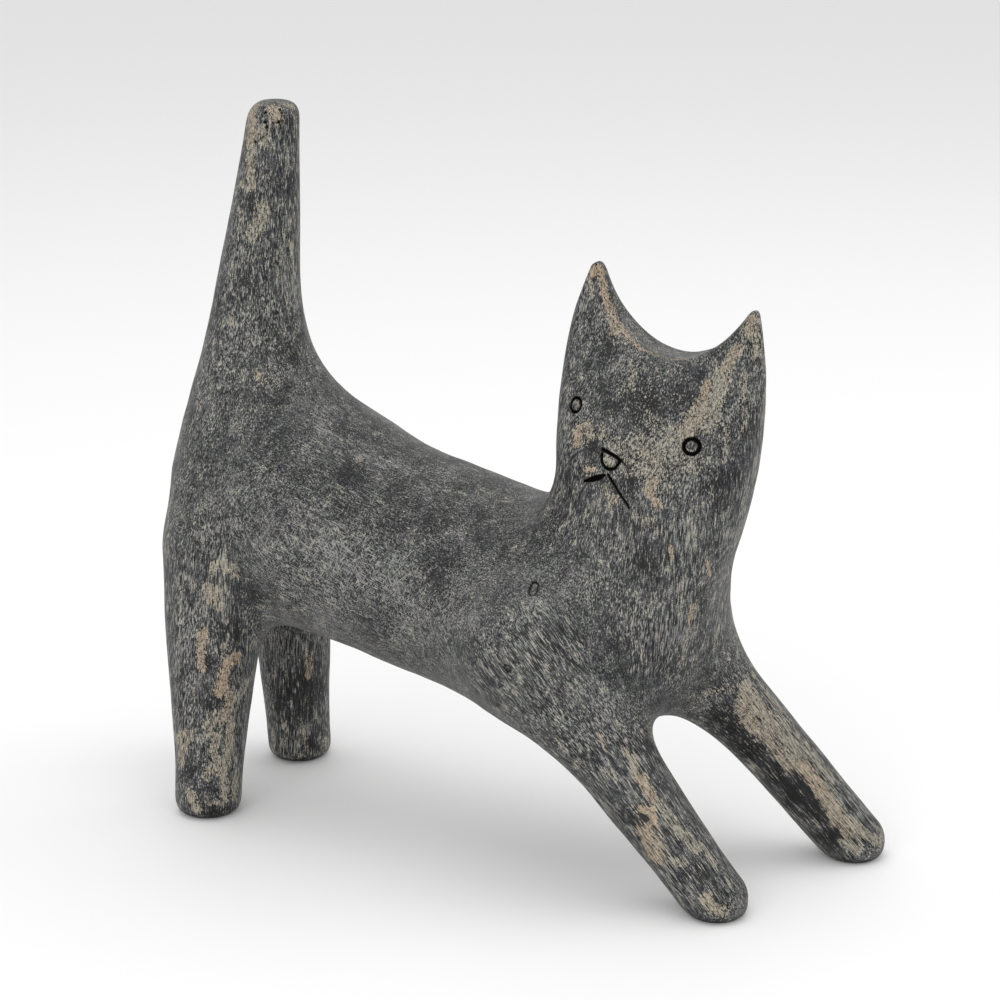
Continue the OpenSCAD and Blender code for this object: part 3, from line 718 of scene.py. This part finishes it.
# Thick charcoal paint with few marks in it, and painted shade: round the saddle between the ears, in the
# creases of the neck and chest, on the sides of the legs that face each other, under the belly and along the
# top of the back: place, size, strength
DARK_PAINT_AND_SHADE = [
    ((39, -1, 190), 2, 0.9), ((41, -2, 185), 2, 0.9), ((43, -3, 181), 2, 0.9),
    ((-76, 4, 230), 3, 0.9), ((-81, -2, 213), 4, 0.6), ((-77, 3, 210), 5, 0.7), ((-87, -5, 205), 4, 0.6),
    ((-88, -7, 176), 5, 0.6), ((-76, 0, 155), 5, 0.7), ((-77, -11, 141), 6, 0.6), ((-82, -27, 84), 3, 0.8),
    ((-78, -26, 80), 6, 0.7), ((-86, -26, 64), 6, 0.9), ((-91, -32, 54), 3, 0.8), ((-90, -33, 40), 3, 0.7),
    ((-96, -38, 17), 3, 0.7), ((-89, -37, 12), 3, 0.7), ((-86, -33, 2), 4, 0.9), ((-90, -38, 2), 4, 0.9),
    # The first two spots on the next line are painted shade on the far hind leg where it faces the near one.
    # The last two spots, and the whole line after it, are painted shade round the saddle between the ears.
    ((-87, 20, 28), 10, 0.9), ((-84, 25, 8), 5, 0.8), ((42, -9, 169), 4, 0.6), ((45, -14, 155), 5, 0.7),
    ((57, -13, 156), 6, 0.9), ((68, -11, 158), 5, 1.0), ((73, -8, 165), 3, 0.9), ((77, -5, 171), 3, 0.8),
    ((81, -13, 134), 6, 0.7), ((87, -6, 149), 4, 0.7), ((42, -19, 140), 3, 0.6), ((36, -19, 130), 5, 0.5),
    # Painted shade: the last two spots on the next line, under the head and where the chest meets the near
    # foreleg, and the first three spots on the line after it, low on the chest and inside the foreleg.
    ((56, -21, 133), 3, 0.7), ((85, -9, 133), 5, 0.7), ((63, -22, 107), 6, 0.8), ((56, -27, 80), 9, 0.6),
    ((70, -17, 72), 5, 0.8), ((75, -11, 72), 4, 0.8), ((65, -28, 50), 4, 0.7), ((77, -38, 28), 2, 0.9),
    ((71, -38, 35), 1.5, 0.8), ((67, -40, 32), 3, 0.7), ((87, -38, 17), 4, 0.8), ((94, -39, 7), 3, 0.5),
    # Painted shade: the next line and the first three spots on the line after it darken the far foreleg where
    # it faces the near one.
    ((78, 8, 50), 5, 1.0), ((80, 9, 46), 5, 1.2), ((86, 12, 39), 6, 1.2), ((92, 15, 31), 6, 1.2),
    ((98, 17, 25), 6, 1.2), ((104, 19, 18), 6, 1.2), ((109, 21, 10), 5, 1.2), ((-7, -26, 99), 8, 0.7),
    ((13, -20, 107), 7, 0.5),
    ((-44, -18, 119), 8, 0.6), ((-27, -15, 117), 7, 0.7), ((-70, -21, 125), 8, 0.4), ((-32, -27, 75), 8, 0.5),
    # The second spot on the next line is painted shade under the belly, between the legs.
    ((-16, 25, 118), 12, 0.5), ((20, -10, 42), 16, 0.7),
    # Painted shade: the next four lines darken the upper flank and the top of the back against the light from
    # above.
    ((-76, -17, 134), 9, 0.45), ((-72, -18, 129), 12, 0.35), ((-57, -21, 122), 12, 0.4),
    ((-42, -20, 118), 11, 0.4), ((-28, -21, 114), 11, 0.4),
    ((-12, -20, 110), 11, 0.4), ((5, -18, 110), 11, 0.4), ((22, -20, 109), 9, 0.4),
    ((-50, 0, 130), 12, 0.35), ((-30, 0, 124), 12, 0.35), ((-10, 0, 118), 12, 0.35), ((8, 0, 114), 10, 0.3),
]
# The same on the cat's left side
LEFT_DARK = [
    ((-84, 204), 6, 0.7), ((-90, 176), 6, 0.6), ((-92, 144), 8, 0.5), ((-96, 66), 5, 0.7),
    ((-93, 48), 4, 0.8),
    ((-92, 12), 5, 0.7), ((84, 38), 6, 0.9), ((98, 22), 5, 0.9), ((60, 152), 9, 0.7), ((50, 134), 7, 0.6),
    ((76, 122), 7, 0.6), ((56, 100), 9, 0.5), ((0, 98), 12, 0.5), ((-42, 100), 10, 0.5), ((30, 70), 9, 0.5),
    ((-74, 120), 10, 0.5),
]


def on_left_side(places):
    """Places on the cat's left side, in whole millimetres, from how far along and how high they are."""
    x, z = np.array(places, float).T
    p = np.stack([x, np.full(len(x), 80.0), z], 1)
    for _ in range(80):
        p[:, 1] -= np.clip(0.7 * figure(p - SHIFT), -3, 4)
    return np.round(p)


WORN += [(on_left_side(line), *rest) for line, *rest in LEFT_WORN]
DARK_PAINT_AND_SHADE += [(on_left_side([place])[0], *rest) for place, *rest in LEFT_DARK]


def spots(p, rows):
    """The strength of soft round spots at points."""
    value = np.zeros(len(p))
    for place, size, strength in rows:
        away = np.linalg.norm(p - np.array(place), axis=1) / size
        value = np.maximum(value, strength * np.exp(-away ** 2))
    return value


def worn_and_peach(p):
    """How worn points are, and how peach the ground is there."""
    worn, peach = np.zeros(len(p)), np.zeros(len(p))
    low, high = p.min(0) - 4, p.max(0) + 4
    for line, wide, strength, colour in WORN:
        line = np.array(line, float)
        if ((line < low) | (line > high)).any(1).all():
            continue
        away = near_line(p, line, wide, wide)[0] / wide
        value = strength * (1 - ease((away - 0.3) / 1.6))
        peach = np.where(value > worn, colour, peach)
        worn = np.maximum(worn, value)
    return worn, peach


def shares(p):
    """How much a place belongs to the torso, to either front leg, and to the parts brushed upright."""
    upright = [bar(p, *LEGS["hind_right"]), bar(p, *LEGS["hind_left"]),
               bar(p, TAIL_ROOT, TAIL_TIP, TAIL_ROOT_R, TAIL_TIP_R), head_skin(p)]
    parts = [bar(p, RUMP, CHEST, RUMP_R, CHEST_R), bar(p, *LEGS["front_right"]), bar(p, *LEGS["front_left"]),
             np.minimum.reduce(upright)]
    weight = np.exp(-np.maximum(np.stack(parts), -4) / 3.5)
    return weight / weight.sum(0)


def paint_masks(obj, name):
    """Writes on a piece's points how its paint is worn or inked, where its colour is darkened or lightened by
    thick paint and haze and in places by painted shade and painted light, and which way it was brushed.
    """
    mesh = obj.data
    p = get_points(mesh) / MM
    body = settle(figure, p - SHIFT, 1.5, 3)
    torso, right, left, upright = shares(body)
    worn, peach = worn_and_peach(p)
    rim = 1 - ease((p[:, 2] - SOLE_RIM) / SOLE_RIM_FADE)
    masks = {"worn": worn * (1 - rim), "peach": peach, "haze_and_painted_light": spots(p, HAZE_AND_PAINTED_LIGHT),
             "dark": np.maximum(spots(p, DARK_PAINT_AND_SHADE), rim),
             "torso": torso, "right_leg": right, "left_leg": left, "upright": upright,
             "ink": np.clip(groove_depth(body) / INKED_DEPTH, 0, 1) if name == "head" else np.zeros(len(p))}
    masks["ink"] = np.maximum(masks["ink"], 0.95 * dent_depth(body)[1])
    for key, value in masks.items():
        layer = mesh.attributes.new(key, "FLOAT", "POINT")
        layer.data.foreach_set("value", value.astype(np.float32))


# ---------------------------------------------------------------- materials
def rgb(r, g, b):
    """A colour given as it looks on a screen, 0 to 255, for a shader."""
    def linear(c):
        return c / 255 / 12.92 if c <= 10 else ((c / 255 + 0.055) / 1.055) ** 2.4
    return linear(r), linear(g), linear(b), 1


class Graph:
    """Short ways to put nodes into a material."""

    def __init__(self, name):
        self.material = bpy.data.materials.new(name)
        self.material.use_nodes = True
        self.tree = self.material.node_tree
        self.shader = self.tree.nodes["Principled BSDF"]

    def node(self, kind, inputs=(), **settings):
        n = self.tree.nodes.new(kind)
        for key, value in settings.items():
            setattr(n, key, value)
        for key, value in dict(inputs).items():
            self.put(value, n.inputs[key])
        return n

    def put(self, value, socket):
        if isinstance(value, bpy.types.NodeSocket):
            self.tree.links.new(value, socket)
        else:
            socket.default_value = value

    def math(self, operation, *values, clamp=False):
        n = self.node("ShaderNodeMath", operation=operation, use_clamp=clamp)
        for socket, value in zip(n.inputs, values):
            self.put(value, socket)
        return n.outputs[0]

    def total(self, start, *terms):
        """start plus each value times its weight."""
        for value, weight in terms:
            start = self.math("MULTIPLY_ADD", value, weight, start)
        return start

    def ramp(self, value, *stops):
        """A colour that runs through (place, colour) stops as the value rises."""
        n = self.node("ShaderNodeValToRGB", {"Fac": value})
        row = n.color_ramp.elements
        while len(row) < len(stops):
            row.new(1.0)
        for element, (place, colour) in zip(row, stops):
            element.position, element.color = place, colour
        return n.outputs["Color"]

    def step(self, value, low, high):
        """0 up to low, 1 from high on, smooth between."""
        n = self.node("ShaderNodeMapRange", {"Value": value, "From Min": low, "From Max": high},
                      interpolation_type="SMOOTHSTEP")
        return n.outputs[0]

    def mix(self, amount, a, b):
        n = self.node("ShaderNodeMix", data_type="RGBA", clamp_factor=True)
        self.put(amount, n.inputs[0])
        self.put(a, n.inputs[6])
        self.put(b, n.inputs[7])
        return n.outputs[2]

    def mask(self, name):
        return self.node("ShaderNodeAttribute", attribute_name=name, attribute_type="GEOMETRY").outputs["Fac"]

    def millimetres(self):
        place = self.node("ShaderNodeTexCoord").outputs["Object"]
        n = self.node("ShaderNodeVectorMath", operation="SCALE")
        self.put(place, n.inputs[0])
        n.inputs["Scale"].default_value = 1 / MM
        return n.outputs[0]

    def noise(self, at, size, detail=2.0, rough=0.55, twist=0.0, way=None, long=None, move=0.0):
        """Noise of the given size in mm. With a way, it is drawn out to a length along it."""
        turn = Vector((1, 0, 0)).rotation_difference(Vector(UP if way is None else way)).to_euler()
        placed = self.node("ShaderNodeMapping", {
            "Vector": at, "Location": (move, 1.7 * move, -0.6 * move), "Rotation": tuple(turn),
            "Scale": (long or size, size, size)}, vector_type="TEXTURE").outputs[0]
        n = self.node("ShaderNodeTexNoise", {"Vector": placed, "Scale": 1.0, "Detail": detail,
                                             "Roughness": rough, "Distortion": twist})
        return n.outputs["Fac"]


def brushed(g, at, parts, size, long, detail, twist, move):
    """Noise drawn out the way each part was brushed: longest on the limbs, criss-cross on the torso."""
    torso, right, left, upright = parts

    def drawn(way, more, stretch=1.3):
        return g.noise(at, size, detail, 0.6, twist, way, long * stretch, move + more)

    crossing = g.math("MAXIMUM", drawn((0.93, 0.05, -0.36), 0, 1), drawn((0.6, 0.15, 0.78), 31, 1))
    crossing = g.math("MAXIMUM", crossing, drawn((0.45, -0.1, -0.88), 47, 1))
    # The greatest of three noises is this much above one.
    crossing = g.math("SUBTRACT", crossing, 0.075)
    return g.total(0.0, (crossing, torso), (drawn(RIGHT_AXIS, 7), right), (drawn(LEFT_AXIS, 13), left),
                   (drawn((0.1, -0.05, 1), 19), upright))


def charcoal(g, at, torso, hair, stroke, broad, cloud, blotch, grain):
    """Charcoal paint dry-brushed with grey: one tone from many layers of strokes.

    The strokes are strong in some places and nearly gone in others.
    """
    dark, haze_and_painted_light = g.mask("dark"), g.mask("haze_and_painted_light")
    strong = g.step(g.noise(at, 11.0, 2.0, 0.5, 0.5, move=410.0), 0.42, 0.6)
    rough = g.total(1.9, (strong, 2.2), (haze_and_painted_light, -0.3), (torso, 2.2))
    scratch = g.math("MULTIPLY", g.math("SUBTRACT", hair, 0.5), rough)
    scratch = g.total(-1.8, (scratch, 1.0), (stroke, 1.5), (grain, 2.1))
    scratch = g.math("MULTIPLY", scratch, g.math("MULTIPLY_ADD", dark, -0.5, 1.0))
    # The haze mask lightens the tone and the dark mask darkens it; in places these are painted light and
    # painted shade.
    tone = g.total(-0.55, (scratch, 1.0), (broad, 0.8), (cloud, 0.6), (blotch, 0.7), (haze_and_painted_light, 0.16),
                   (dark, -0.45))
    grey = g.ramp(tone, (0.0, rgb(11, 11, 12)), (0.16, rgb(23, 23, 24)), (0.36, rgb(45, 46, 47)),
                  (0.5, rgb(62, 64, 64)), (0.66, rgb(85, 87, 84)), (0.85, rgb(111, 113, 109)),
                  (1.0, rgb(138, 139, 134)))
    violet = g.ramp(tone, (0.0, rgb(12, 12, 15)), (0.5, rgb(64, 64, 70)), (1.0, rgb(132, 127, 124)))
    hue = g.step(g.noise(at, 9.0, 2.0, move=260.0), 0.42, 0.6)
    return g.mix(g.math("MULTIPLY", hue, 0.5), grey, violet)


def bare_ground(g, hair, stroke, grain):
    """The scuffed ground under the paint, beige-grey to peach."""
    scuffed = g.total(-1.9, (hair, 1.6), (stroke, 1.0), (grain, 2.2))
    beige = g.ramp(scuffed, (0.0, rgb(46, 45, 41)), (0.35, rgb(112, 108, 98)), (0.6, rgb(147, 142, 129)),
                   (1.0, rgb(174, 169, 155)))
    peach = g.ramp(scuffed, (0.0, rgb(54, 48, 42)), (0.35, rgb(128, 113, 95)), (0.6, rgb(164, 146, 124)),
                   (1.0, rgb(188, 170, 148)))
    return g.mix(g.math("POWER", g.mask("peach"), 1.7), beige, peach)


def worn_through(g, at, hair, stroke, broad, blotch, grain):
    """How far the ground shows, with edges torn into streaks and dark specks left in the pores."""
    wild = g.math("MULTIPLY", g.step(broad, 0.54, 0.66), g.step(blotch, 0.48, 0.6))
    wild = g.math("MULTIPLY", wild, g.math("MULTIPLY_ADD", g.mask("dark"), -0.5, 0.5))
    worn = g.math("MAXIMUM", g.mask("worn"), wild)
    ragged = g.total(-3.4, (hair, 2.0), (stroke, 1.4), (broad, 0.7), (blotch, 0.9), (grain, 1.8))
    through = g.step(g.math("ADD", worn, ragged), 0.36, 0.6)
    specks = g.step(g.noise(at, 0.7, 1.0, 0.5, 0.8, move=300.0), 0.59, 0.66)
    return g.math("MULTIPLY", through, g.math("SUBTRACT", 1.0, g.math("MULTIPLY", specks, 0.75)))


def painted():
    g = Graph("rubbed_charcoal_paint")
    at = g.millimetres()
    parts = [g.mask(name) for name in ("torso", "right_leg", "left_leg", "upright")]
    hair = brushed(g, at, parts, 0.3, 3.2, 1.0, 0.4, 5.0)
    stroke = brushed(g, at, parts, 0.55, 3.0, 2.0, 0.8, 25.0)
    broad = brushed(g, at, parts, 2.2, 10.0, 2.0, 0.5, 60.0)
    cloud = g.noise(at, 14.0, 3.0, 0.6, 0.6, move=90.0)
    blotch = g.noise(at, 4.5, 3.0, 0.65, 0.4, move=140.0)
    grain = g.noise(at, 0.55, 2.0, 0.65, 1.6, move=200.0)

    paint = charcoal(g, at, parts[0], hair, stroke, broad, cloud, blotch, grain)
    through = worn_through(g, at, hair, stroke, broad, blotch, grain)
    colour = g.mix(g.math("MULTIPLY", through, 0.9), paint, bare_ground(g, hair, stroke, grain))
    # Dark paint left in the grooves and pits
    ink = g.mask("ink")
    colour = g.mix(ink, colour, rgb(7, 6, 5))

    g.put(colour, g.shader.inputs["Base Color"])
    g.put(g.total(0.46, (through, 0.14), (grain, 0.2)), g.shader.inputs["Roughness"])
    g.put(g.math("MULTIPLY_ADD", ink, -0.28, 0.3), g.shader.inputs["Specular IOR Level"])
    fine = g.total(0.0, (hair, 0.6), (stroke, 0.4))
    relief = g.total(0.0, (fine, 0.7), (grain, 0.3), (through, -0.2))
    bump = g.node("ShaderNodeBump", {"Strength": 0.5, "Distance": 0.00025, "Height": relief})
    g.put(bump.outputs[0], g.shader.inputs["Normal"])
    return g.material


def dowel_wood():
    g = Graph("bare_dowel_wood")
    at = g.millimetres()
    rings = g.noise(at, 1.1, 3.0, 0.6, 0.8, long=22.0, move=11.0)
    pores = g.noise(at, 0.35, 2.0, 0.6, long=5.0, move=44.0)
    wood = g.mix(g.step(rings, 0.36, 0.64), rgb(178, 138, 96), rgb(205, 170, 126))
    wood = g.mix(g.math("MULTIPLY", g.step(pores, 0.56, 0.66), 0.6), wood, rgb(120, 86, 56))
    g.put(wood, g.shader.inputs["Base Color"])
    g.put(g.math("MULTIPLY_ADD", pores, 0.2, 0.5), g.shader.inputs["Roughness"])
    bump = g.node("ShaderNodeBump", {"Strength": 0.3, "Distance": 0.0001, "Height": pores})
    g.put(bump.outputs[0], g.shader.inputs["Normal"])
    return g.material


PAINT = painted()
for name, piece in PIECES.items():
    paint_masks(piece, name)
    piece.data.materials.clear()
    piece.data.materials.append(PAINT)
DOWEL = dowel_wood()
for name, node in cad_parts.items():
    if name.endswith("_peg"):
        for slot in node.material_slots:
            slot.material = DOWEL

# ---------------------------------------------------------------- floor, lights and camera
FLOOR_HALF, FLOOR_COLOUR, FLOOR_ROUGHNESS = 6.0, (0.86, 0.86, 0.86, 1), 0.7
SKY_STRENGTH = 0.85


def pale_floor():
    bm = bmesh.new()
    bmesh.ops.create_grid(bm, x_segments=1, y_segments=1, size=FLOOR_HALF)
    mesh = bpy.data.meshes.new("floor")
    bm.to_mesh(mesh)
    bm.free()
    pale = bpy.data.materials.new("pale_floor")
    pale.use_nodes = True
    shader = pale.node_tree.nodes["Principled BSDF"]
    shader.inputs["Base Color"].default_value = FLOOR_COLOUR
    shader.inputs["Roughness"].default_value = FLOOR_ROUGHNESS
    mesh.materials.append(pale)
    obj = bpy.data.objects.new("floor", mesh)
    bpy.context.scene.collection.objects.link(obj)
    return obj


floor = pale_floor()

bpy.context.scene.view_settings.view_transform = "Standard"
world = bpy.data.worlds.new("studio")
bpy.context.scene.world = world
world.use_nodes = True
sky = world.node_tree.nodes["Background"]
sky.inputs["Color"].default_value = (1, 1, 1, 1)
sky.inputs["Strength"].default_value = SKY_STRENGTH


def soft_light(name, place, target, size, power):
    """A square light turned to a target."""
    data = bpy.data.lights.new(name, "AREA")
    data.shape, data.size, data.energy = "SQUARE", size, power
    obj = bpy.data.objects.new(name, data)
    obj.location = place
    obj.rotation_euler = (Vector(target) - Vector(place)).to_track_quat("-Z", "Y").to_euler()
    bpy.context.scene.collection.objects.link(obj)


low, high = (Vector(c) for c in CAD_BOX)
middle = (low + high) / 2
soft_light("top_light", middle + Vector((-0.15, 0.15, 1.3)), middle, 1.2, 6)
soft_light("front_light", middle + Vector((0.1, -1.5, 0.5)), middle, 1.2, 7.5)
soft_light("rim_light", middle + Vector((1.0, 0.7, 0.6)), middle, 0.8, 3)

# The camera looks at a point a little under the figure's middle, from its right and ahead of it.
AZIMUTH, ELEVATION, DISTANCE, AIM_HEIGHT = math.radians(26.5), math.radians(16), 0.9, 0.112
LENS, SENSOR = 100, 36
aim = Vector(SHIFT * MM) + Vector((0, 0, AIM_HEIGHT))
back = Vector((math.sin(AZIMUTH) * math.cos(ELEVATION), -math.cos(AZIMUTH) * math.cos(ELEVATION),
               math.sin(ELEVATION)))
camera_data = bpy.data.cameras.new("camera")
camera_data.lens, camera_data.sensor_width = LENS, SENSOR
camera = bpy.data.objects.new("camera", camera_data)
camera.location = aim + back * DISTANCE
camera.rotation_euler = (-back).to_track_quat("-Z", "Y").to_euler()
bpy.context.scene.collection.objects.link(camera)
bpy.context.scene.camera = camera
